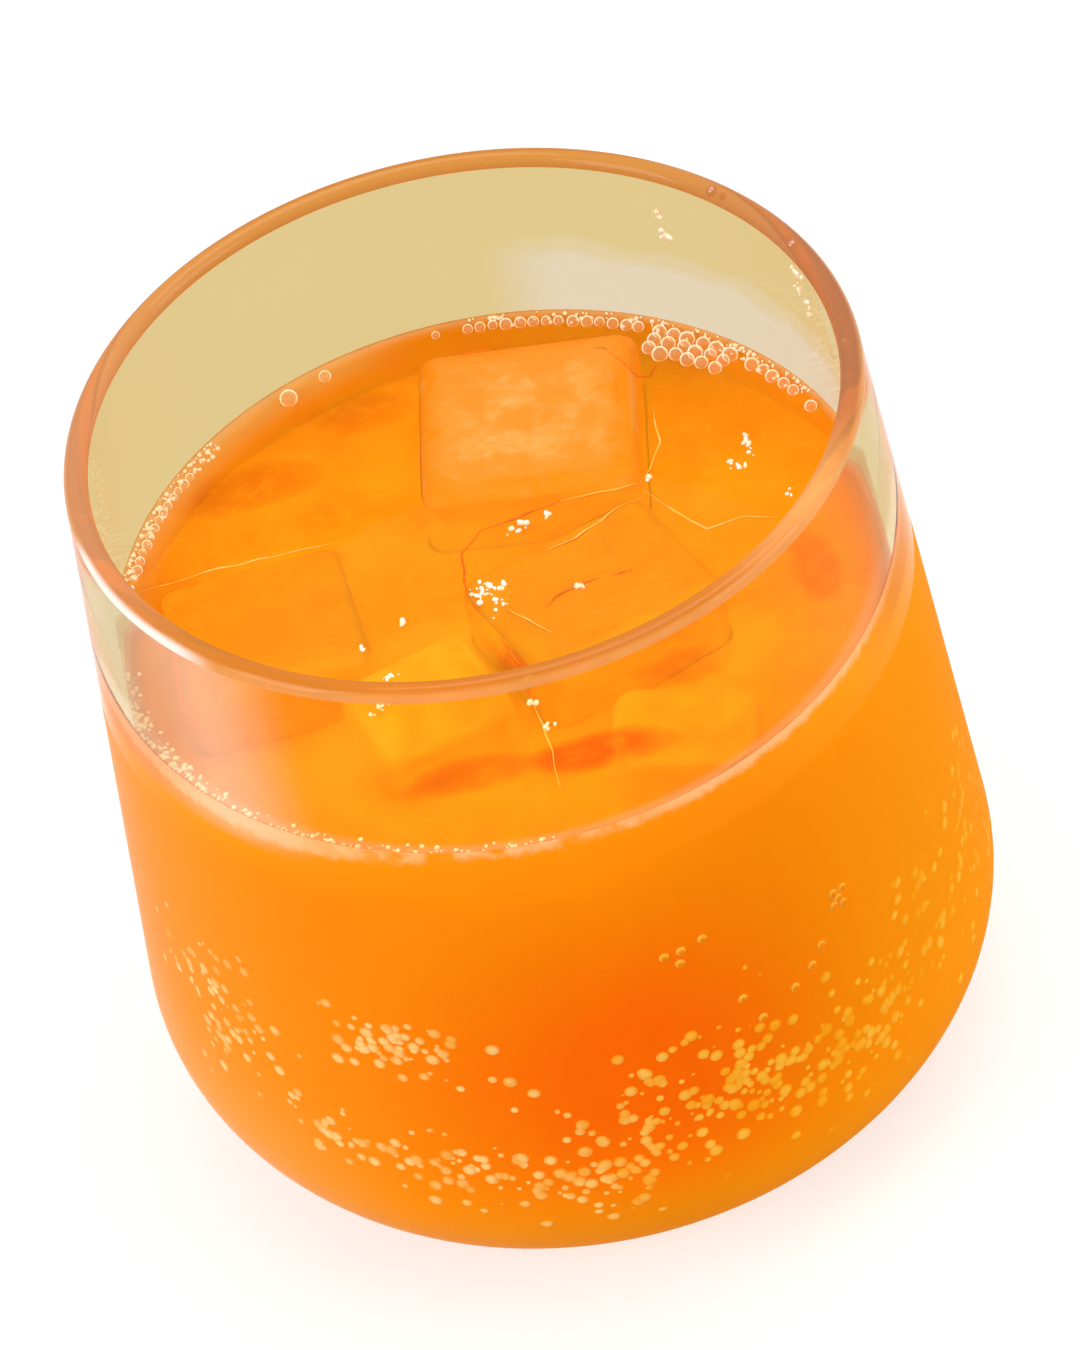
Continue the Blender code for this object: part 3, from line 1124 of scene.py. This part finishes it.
# Cracks and edges of ice at the surface, in millimetres: pale lines of painted highlight and dark lines of
# painted shade
PALE_CREASES = (
    ((16.0, 6.3), (12.5, 4.2), (8.6, 1.5), (5.1, 0.4)),
    ((16.2, 7.2), (18.8, 3.0), (21.5, -0.7), (25.4, -0.2), (29.1, -1.1)),
    ((-0.1, -6.8), (2.0, -9.0), (4.2, -12.0)),
    ((0.6, -18.9), (1.2, -25.0), (1.3, -31.8)),
    ((-36.7, 8.8), (-27.5, 9.9), (-20.0, 9.8), (-15.9, 9.9)),
    ((16.3, 8.3), (19.3, 14.0), (19.3, 19.3)),
    ((7.9, 8.4), (12.0, 8.4), (16.3, 8.3)),
)
# Dark lines of painted shade in the cracks
DARK_CREASES = (
    ((-0.8, 6.7), (3.5, 7.4), (7.9, 8.4)),
    ((3.8, -8.1), (5.1, -6.5), (7.8, -5.7), (13.4, -5.0)),
    ((-0.8, 6.7), (-3.0, 4.0), (-3.6, 0.0), (-2.6, -6.0)),
    ((-1.4, -9.5), (0.5, -15.0), (0.4, -19.0)),
    ((14.7, 29.0), (16.0, 28.8), (17.0, 26.7), (18.3, 24.8), (19.9, 24.0), (20.9, 25.5)),
    ((0.2, 33.6), (3.3, 33.4), (4.9, 33.2)),
)
CREASE_WIDTH = 0.15 * MM
CREASE_FLAT = 0.5
CREASE_STEP = 0.5 * MM
CREASE_SIDES = 6
CREASE_LIFT = 0.06 * MM
CREASE_WAVE = 0.35 * MM
CREASE_WAVE_SIZE = 3.0 * MM
CREASE_SEED = 1

# Glints on the surface, painted highlights as near-white beads, in millimetres: middle, spread and how many
# beads
GLINTS = (
    ((-1.3, -3.4), 0.75, 30),
    ((-0.4, -5.8), 0.45, 10),
    ((7.5, -5.9), 0.30, 6),
    ((17.1, 8.9), 0.25, 5),
    ((28.0, 10.2), 0.55, 9),
    ((26.2, 7.6), 0.50, 8),
    ((-12.8, -12.0), 0.60, 12),
    ((-10.4, -4.1), 0.20, 3),
    ((-14.9, -7.1), 0.20, 3),
    ((-14.2, -15.9), 0.60, 9),
    ((0.7, -19.7), 0.35, 6),
    ((1.4, -23.3), 0.35, 6),
    ((3.4, 5.9), 0.55, 8),
    ((6.2, 6.9), 0.35, 5),
    ((30.6, 1.5), 0.35, 5),
)
# Glints on the inner wall, painted highlights as near-white droplets: azimuth in degrees, height in
# millimetres and how many beads
WALL_GLINTS = (
    (17.6, 84.0, 5), (18.4, 80.7, 7), (16.4, 78.8, 6), (17.2, 82.6, 4), (50.9, 79.9, 6), (50.0, 77.2, 8),
)
WALL_GLINT_SPREAD = 0.5 * MM
GLINT_SMALL = 0.10 * MM
GLINT_LARGE = 0.34 * MM
GLINT_STRETCH = 2.2
GLINT_SEED = 29
PROBE_TOP = 3.0 * MM
PROBE_STEP = 0.05 * MM


def surface_height(x, y, level):
    """Height of the drink or of the ice that stands out of it."""
    z = level + PROBE_TOP
    while z > level and clear_of_ice(Vector((x, y, z)), level, -ICE_RELIEF / 2):
        z -= PROBE_STEP
    return max(z, level)


def crease_points(corners, level):
    """Points along a wavering line through some corners, laid on the surface."""
    corners = [Vector((x * MM, y * MM, 0.0)) for x, y in corners]
    points = []
    for first, last in zip(corners, corners[1:]):
        steps = max(1, round((last - first).length / CREASE_STEP))
        points += [first.lerp(last, i / steps) for i in range(steps)]
    points.append(corners[-1])
    for point in points:
        point += CREASE_WAVE * noise.noise_vector(point / CREASE_WAVE_SIZE)
        point.z = surface_height(point.x, point.y, level) + CREASE_LIFT
    return points


def add_thread(whole, points):
    """A flat thread, drawn out of a small disc along some points, which thins out to both ends."""
    form = bmesh.new()
    disc = bmesh.ops.create_circle(form, cap_ends=True, segments=CREASE_SIDES, radius=1.0)["verts"]
    place = Matrix.Identity(4)
    for i, point in enumerate(points):
        if i > 0:
            cap = [face for face in disc[0].link_faces if all(vert in disc for vert in face.verts)]
            drawn = bmesh.ops.extrude_face_region(form, geom=cap, use_keep_orig=True)["geom"]
            disc = [vert for vert in drawn if isinstance(vert, bmesh.types.BMVert)]
            if i > 1:
                bmesh.ops.delete(form, geom=cap, context="FACES_ONLY")
        along = (points[min(i + 1, len(points) - 1)] - points[max(i - 1, 0)]).normalized()
        side = Vector((-along.y, along.x, 0.0)).normalized()
        wide = CREASE_WIDTH * (0.15 + 0.85 * math.sin(math.pi * i / (len(points) - 1)))
        wide *= 0.75 + 0.5 * noise.noise(point / CREASE_WAVE_SIZE)
        upward = Vector((0.0, 0.0, wide * CREASE_FLAT))
        moved = Matrix.Translation(point) @ Matrix((side * wide, upward, along * wide)).transposed().to_4x4()
        bmesh.ops.transform(form, matrix=moved @ place.inverted(), verts=disc)
        place = moved
    bmesh.ops.recalc_face_normals(form, faces=form.faces)
    if form.calc_volume(signed=True) < 0.0:
        bmesh.ops.reverse_faces(form, faces=form.faces)
    mesh = mesh_of("thread", form, [])
    whole.from_mesh(mesh)
    bpy.data.meshes.remove(mesh)


def crease_finish(name, colour, other):
    """Wet ice along a crack, brighter and duller in turn: a painted highlight in a pale line, painted shade
    in a dark one.
    """
    finish = Finish(name)
    finish.set(
        Base_Color=finish.mix(finish.noise(2 * MM).step(0.35, 0.65), colour, other),
        Roughness=0.2,
        Specular_IOR_Level=0.2,
    )
    return finish.material


def glint_size(draw):
    """A radius between the smallest and the largest, more often a small one."""
    return GLINT_SMALL + (GLINT_LARGE - GLINT_SMALL) * draw.random() ** 2


def stretch_balls(form, places, draw):
    """Makes each ball longer in a direction of its own."""
    form.verts.ensure_lookup_table()
    each = len(form.verts) // len(places)
    for i, (middle, _) in enumerate(places):
        axis = Vector([draw.gauss(0.0, 1.0) for _ in range(3)]).normalized()
        longer = Matrix.Scale(draw.uniform(1.0, GLINT_STRETCH), 4, axis)
        about = Matrix.Translation(middle)
        ball = form.verts[i * each:(i + 1) * each]
        bmesh.ops.transform(form, matrix=about @ longer @ about.inverted(), verts=ball)


def glint_finish():
    """Wet beads that catch the light, painted near white as highlights."""
    finish = Finish("glint")
    finish.set(
        Base_Color=finish.mix(finish.noise(1.0 * MM).step(0.35, 0.6), (1.0, 0.80, 0.50), (1.0, 0.98, 0.94)),
        Roughness=0.1,
        Coat_Weight=0.5,
    )
    return finish.material


class KOMBUCHA_OT_surface_details(bpy.types.Operator):
    """Make the cracks, pale with painted highlight and dark with painted shade, and the glints of wet ice at
    the surface, beads painted near white as highlights
    """

    bl_idname = "kombucha.surface_details"
    bl_label = "Cracks and glints"

    def execute(self, context):
        level = context.scene.kombucha_drink.level
        # Pale lines of painted highlight, dark lines of painted shade
        pale = crease_finish("pale_crease", (1.0, 0.42, 0.04), (1.0, 0.54, 0.13))
        dark = crease_finish("dark_crease", (0.62, 0.10, 0.003), (0.88, 0.20, 0.004))
        noise.seed_set(CREASE_SEED)
        cracks = (("pale_creases", PALE_CREASES, pale), ("dark_creases", DARK_CREASES, dark))
        for name, lines, material in cracks:
            form = bmesh.new()
            for corners in lines:
                add_thread(form, crease_points(corners, level))
            finish_piece(name, form, [material])
        draw = random.Random(GLINT_SEED)
        places = []
        for (x, y), spread, count in GLINTS:
            for _ in range(count):
                place = Vector((draw.gauss(x, spread) * MM, draw.gauss(y, spread) * MM, 0.0))
                place.z = surface_height(place.x, place.y, level)
                places.append((place, glint_size(draw)))
        section = Section(context.scene.kombucha_glass)
        for azimuth, high, count in WALL_GLINTS:
            for _ in range(count):
                z = high * MM + draw.gauss(0.0, WALL_GLINT_SPREAD)
                out = section.inner_radius(z)
                turn = math.radians(azimuth) + draw.gauss(0.0, WALL_GLINT_SPREAD) / out
                places.append((polar(out, turn, z), glint_size(draw)))
        form = balls(places, 10, 7)
        stretch_balls(form, places, draw)
        finish_piece("glints", form, [glint_finish()])
        return {"FINISHED"}


# Small beads of drink on the rim: azimuth in degrees and radius in millimetres
RIM_SPECKS = (
    (-4.5, 0.50), (9.5, 0.38), (20.2, 0.62), (22.0, 0.45), (39.2, 0.60), (37.0, 0.40), (-11.6, 0.35),
    (-175.2, 0.50), (14.0, 0.28), (1.0, 0.26),
)
SPECK_OUT = 0.55


def speck_finish():
    """Brown beads, brighter where they catch the light."""
    finish = Finish("rim_speck")
    facing = finish.facing()
    finish.set(
        Base_Color=finish.mix(facing.step(0.1, 0.8), (0.62, 0.22, 0.10), (0.30, 0.08, 0.03)),
        Roughness=0.12,
        Coat_Weight=1.0,
    )
    return finish.material


class KOMBUCHA_OT_rim_specks(bpy.types.Operator):
    """Make the small beads of drink on the rim"""

    bl_idname = "kombucha.rim_specks"
    bl_label = "Rim specks"

    def execute(self, context):
        section = Section(context.scene.kombucha_glass)
        out = section.rim_radius - section.bead * (1 + SPECK_OUT / 2)
        z = section.height - section.bead * (1 - SPECK_OUT)
        places = [(polar(out, math.radians(azimuth), z), radius * MM) for azimuth, radius in RIM_SPECKS]
        finish_piece("rim_specks", balls(places, 14, 10), [speck_finish()])
        return {"FINISHED"}


# Fine foam at the waterline: first and last azimuth in degrees, and how many bubbles
FOAM = (
    (166, 132, 110),
    (-176, -143, 130),
    (-143, -90, 70),
    (60, 24, 90),
    (86, 60, 40),
)
FOAM_SEED = 8
FOAM_SMALL = 0.12 * MM
FOAM_LARGE = 0.32 * MM
FOAM_WIDTH = 1.3 * MM


def foam_list(section, level):
    """Centre and radius of each fine bubble of foam."""
    draw = random.Random(FOAM_SEED)
    found = []
    for first, last, count in FOAM:
        for _ in range(count):
            azimuth = draw.uniform(math.radians(first), math.radians(last))
            radius = FOAM_SMALL + (FOAM_LARGE - FOAM_SMALL) * draw.random() ** 2
            inward = radius + FOAM_WIDTH * draw.random() ** 2
            out = section.inner_radius(level) - inward
            rise = MENISCUS_RISE * max(0.0, 1 - inward / MENISCUS_WIDTH) ** 2
            found.append((polar(out, azimuth, level + rise), radius))
    return found


def foam_finish():
    """White film, packed close."""
    finish = Finish("fine_foam")
    speck = finish.noise(1.5 * MM)
    finish.set(
        Base_Color=finish.mix(speck, (1.0, 0.68, 0.42), (1.0, 0.88, 0.70)),
        Roughness=0.15,
        Coat_Weight=0.5,
    )
    return finish.material


class KOMBUCHA_OT_foam(bpy.types.Operator):
    """Make the fine foam along the waterline"""

    bl_idname = "kombucha.foam"
    bl_label = "Foam"

    def execute(self, context):
        section, drink = from_settings(context)
        finish_piece("fine_foam", balls(foam_list(section, drink.level), 8, 6), [foam_finish()])
        return {"FINISHED"}


# Bubbles on the wall: azimuth in degrees, height in millimetres, spread of both, and how many
CLUSTERS = (
    (-151, 32, 6, 5.0, 90),
    (-120, 37.5, 6, 2.2, 84),
    (-131, 22, 3.5, 2.4, 30),
    (-112, 21, 8, 2.2, 60),
    (-96, 18, 6, 2.4, 60),
    (-84, 25, 6, 4.0, 84),
    (-70, 26, 6, 4.0, 90),
    (-56, 22, 6, 3.6, 84),
    (-101, 30, 4, 2.5, 7),
    (-36, 26, 9, 5.0, 90),
    (-14, 26, 9, 6.0, 70),
    (25, 22, 14, 5.0, 50),
    (70, 26, 14, 6.0, 50),
    (115, 20, 12, 4.0, 40),
    (160, 27, 12, 6.0, 50),
)
CLUSTER_SEED = 17
WALL_BUBBLE_SMALL = 0.38 * MM
WALL_BUBBLE_LARGE = 0.88 * MM
WALL_BUBBLE_FLAT = 0.35
LOWEST_BUBBLE = 12 * MM

# Single bubbles on the wall at the right: azimuth and height
WALL_SINGLES = (
    (-51.9, 40.4), (-50.8, 41.2), (-52.6, 41.4), (-51.2, 39.4), (-52.9, 39.9), (-56.5, 36.6), (-58.7, 35.0),
    (-62.1, 33.8), (-67.8, 32.5), (-70.0, 36.2), (-73.7, 46.0), (-77.0, 45.6), (-79.5, 45.6), (-77.5, 44.1),
)
SINGLE_RADIUS = 0.55 * MM


def wall_point(section, azimuth, z):
    """A point on the inner wall."""
    return polar(section.inner_at(z), azimuth, z)


def cluster_list(section):
    """Centre and radius of each bubble that clings to the wall."""
    draw = random.Random(CLUSTER_SEED)
    found = []
    for azimuth, z, turn, tall, count in CLUSTERS:
        for _ in range(count):
            high = max(LOWEST_BUBBLE, draw.gauss(z * MM, tall * MM))
            radius = draw.uniform(WALL_BUBBLE_SMALL, WALL_BUBBLE_LARGE)
            place = wall_point(section, draw.gauss(math.radians(azimuth), math.radians(turn)), high)
            found.append((place, radius))
    return found


def wall_bubble_finish(drink):
    """Soft pale spots: peach to the left, yellow-orange to the right."""
    finish = Finish("wall_bubble")
    x = finish.xyz()[0]
    right = (x / GLASS_HIGH.x).step(-0.35, 0.35)
    away = finish.attribute("turned_away").step(0.05, 0.75)
    patch = finish.noise(4 * MM).step(0.35, 0.65)
    left_pale = finish.mix(patch, (0.98, 0.46, 0.12), (1.0, 0.70, 0.40))
    right_pale = finish.mix(patch, (1.0, 0.42, 0.02), (1.0, 0.56, 0.08))
    pale = finish.mix(right, left_pale, right_pale)
    around = finish.mix(right, drink.colour, drink.light_colour)
    finish.matt(finish.mix(away, pale, around))
    return finish.material


def single_finish(drink):
    """A clear bubble with a bright outline, a painted highlight as a ring near its edge."""
    finish = Finish("wall_ring")
    away = finish.attribute("turned_away")
    # Painted highlight: a bright ring near the outline
    outline = away.step(0.12, 0.35) * (1 - away.step(0.6, 0.9))
    finish.matt(finish.mix(outline, drink.colour, (1.0, 0.60, 0.12)), 0.3)
    return finish.material


class KOMBUCHA_OT_wall_bubbles(bpy.types.Operator):
    """Make the bubbles that cling to the inside of the wall"""

    bl_idname = "kombucha.wall_bubbles"
    bl_label = "Wall bubbles"

    def execute(self, context):
        section, drink = from_settings(context)
        form = balls(cluster_list(section), 10, 8, WALL_BUBBLE_FLAT)
        finish_piece("wall_bubbles", form, [wall_bubble_finish(drink)])
        singles = [(wall_point(section, math.radians(a), z * MM), SINGLE_RADIUS) for a, z in WALL_SINGLES]
        finish_piece("wall_rings", balls(singles, 20, 14), [single_finish(drink)])
        return {"FINISHED"}


FLOOR_GLOW = 0.60
FLOOR_SIZE = 6.0
FLOOR_DROP = 0.2 * MM
LIGHTS = {
    # name: place, size, watts, colour
    "window_left": ((-0.75, -0.35, 0.62), (0.45, 0.60), 3.6, (1.0, 0.97, 0.93)),
    "overhead": ((0.15, 0.25, 1.10), (0.70, 0.60), 4.4, (1.0, 0.98, 0.95)),
    "fill_right": ((0.80, -0.30, 0.55), (0.50, 0.50), 2.2, (1.0, 0.97, 0.94)),
}
WORLD_COLOUR = (1.0, 0.99, 0.97, 1.0)
WORLD_STRENGTH = 0.74
CLIP_START = 0.01


def floor_finish(stage):
    """Plain pale paint with a faint unevenness."""
    finish = Finish("pale_floor")
    base = stage.floor_colour
    finish.set(
        Base_Color=finish.mix(finish.noise(120 * MM), base, tuple(c * 0.99 for c in base)),
        Roughness=0.9,
        Emission_Color=(1.0, 1.0, 1.0, 1.0),
        Emission_Strength=FLOOR_GLOW,
    )
    return finish.material


def aim(thing, place, target, roll=0.0):
    """Puts a camera or a lamp somewhere, turned to a target, then rolled about its own axis."""
    back = (Vector(place) - Vector(target)).normalized()
    right = Vector((0.0, 0.0, 1.0)).cross(back).normalized()
    up = back.cross(right)
    level = Matrix((right, up, back)).transposed()
    thing.matrix_world = Matrix.Translation(place) @ (level @ Matrix.Rotation(roll, 3, "Z")).to_4x4()


class KOMBUCHA_OT_stage(bpy.types.Operator):
    """Make the floor, the lamps and the camera"""

    bl_idname = "kombucha.stage"
    bl_label = "Stage"

    def execute(self, context):
        stage = context.scene.kombucha_stage
        scene = context.scene
        form = bmesh.new()
        bmesh.ops.create_grid(form, x_segments=2, y_segments=2, size=FLOOR_SIZE / 2)
        bmesh.ops.translate(form, vec=(0.0, 0.0, GLASS_LOW.z - FLOOR_DROP), verts=form.verts)
        floor = show("floor", mesh_of("floor", form, [floor_finish(stage)]))
        middle = Vector((0.0, 0.0, GLASS_HIGH.z / 2))
        for name, (place, size, watts, colour) in LIGHTS.items():
            lamp = bpy.data.lights.new(name, "AREA")
            lamp.shape = "RECTANGLE"
            lamp.size, lamp.size_y = size
            lamp.energy = watts
            lamp.color = colour
            aim(show(name, lamp), place, middle)
        world = bpy.data.worlds.new("studio")
        world.use_nodes = True
        sky = world.node_tree.nodes["Background"]
        sky.inputs["Color"].default_value = WORLD_COLOUR
        sky.inputs["Strength"].default_value = WORLD_STRENGTH
        scene.world = world
        scene.view_settings.view_transform = "Standard"
        lens = bpy.data.cameras.new("camera")
        lens.lens = stage.lens
        lens.clip_start = CLIP_START
        camera = show("camera", lens)
        rim = Vector((0.0, 0.0, GLASS_HIGH.z))
        angle = stage.camera_height_angle
        place = rim + stage.camera_distance * Vector((0.0, -math.cos(angle), math.sin(angle)))
        aim(camera, place, (stage.target_side, 0.0, stage.target_height), stage.camera_roll)
        scene.camera = camera
        return {"FINISHED"}


class KOMBUCHA_PT_panel(bpy.types.Panel):
    """Lists the steps that build the glass of kombucha"""

    bl_label = "Glass of kombucha"
    bl_idname = "KOMBUCHA_PT_panel"
    bl_space_type = "VIEW_3D"
    bl_region_type = "UI"
    bl_category = "Drink"

    def draw(self, context):
        for settings in (
            context.scene.kombucha_glass,
            context.scene.kombucha_drink,
            context.scene.kombucha_stage,
        ):
            box = self.layout.box()
            for name in settings.__annotations__:
                box.prop(settings, name)
        for step in STEPS:
            self.layout.operator(step.bl_idname)


STEPS = (
    KOMBUCHA_OT_glass,
    KOMBUCHA_OT_drink,
    KOMBUCHA_OT_ice,
    KOMBUCHA_OT_sunken_ice,
    KOMBUCHA_OT_bubbles,
    KOMBUCHA_OT_surface_details,
    KOMBUCHA_OT_rim_specks,
    KOMBUCHA_OT_foam,
    KOMBUCHA_OT_wall_bubbles,
    KOMBUCHA_OT_stage,
)
SETTINGS = {
    "kombucha_glass": GlassSettings,
    "kombucha_drink": DrinkSettings,
    "kombucha_stage": StageSettings,
}


def register():
    for made in (*SETTINGS.values(), *STEPS, KOMBUCHA_PT_panel):
        bpy.utils.register_class(made)
    for name, settings in SETTINGS.items():
        setattr(bpy.types.Scene, name, PointerProperty(type=settings))


def unregister():
    for name in SETTINGS:
        delattr(bpy.types.Scene, name)
    for made in (KOMBUCHA_PT_panel, *reversed(STEPS), *reversed(SETTINGS.values())):
        bpy.utils.unregister_class(made)


def main():
    register()
    bpy.ops.kombucha.glass()
    bpy.ops.kombucha.drink()
    bpy.ops.kombucha.ice()
    bpy.ops.kombucha.sunken_ice()
    bpy.ops.kombucha.bubbles()
    bpy.ops.kombucha.surface_details()
    bpy.ops.kombucha.rim_specks()
    bpy.ops.kombucha.foam()
    bpy.ops.kombucha.wall_bubbles()
    bpy.ops.kombucha.stage()


if __name__ == "__main__":
    main()
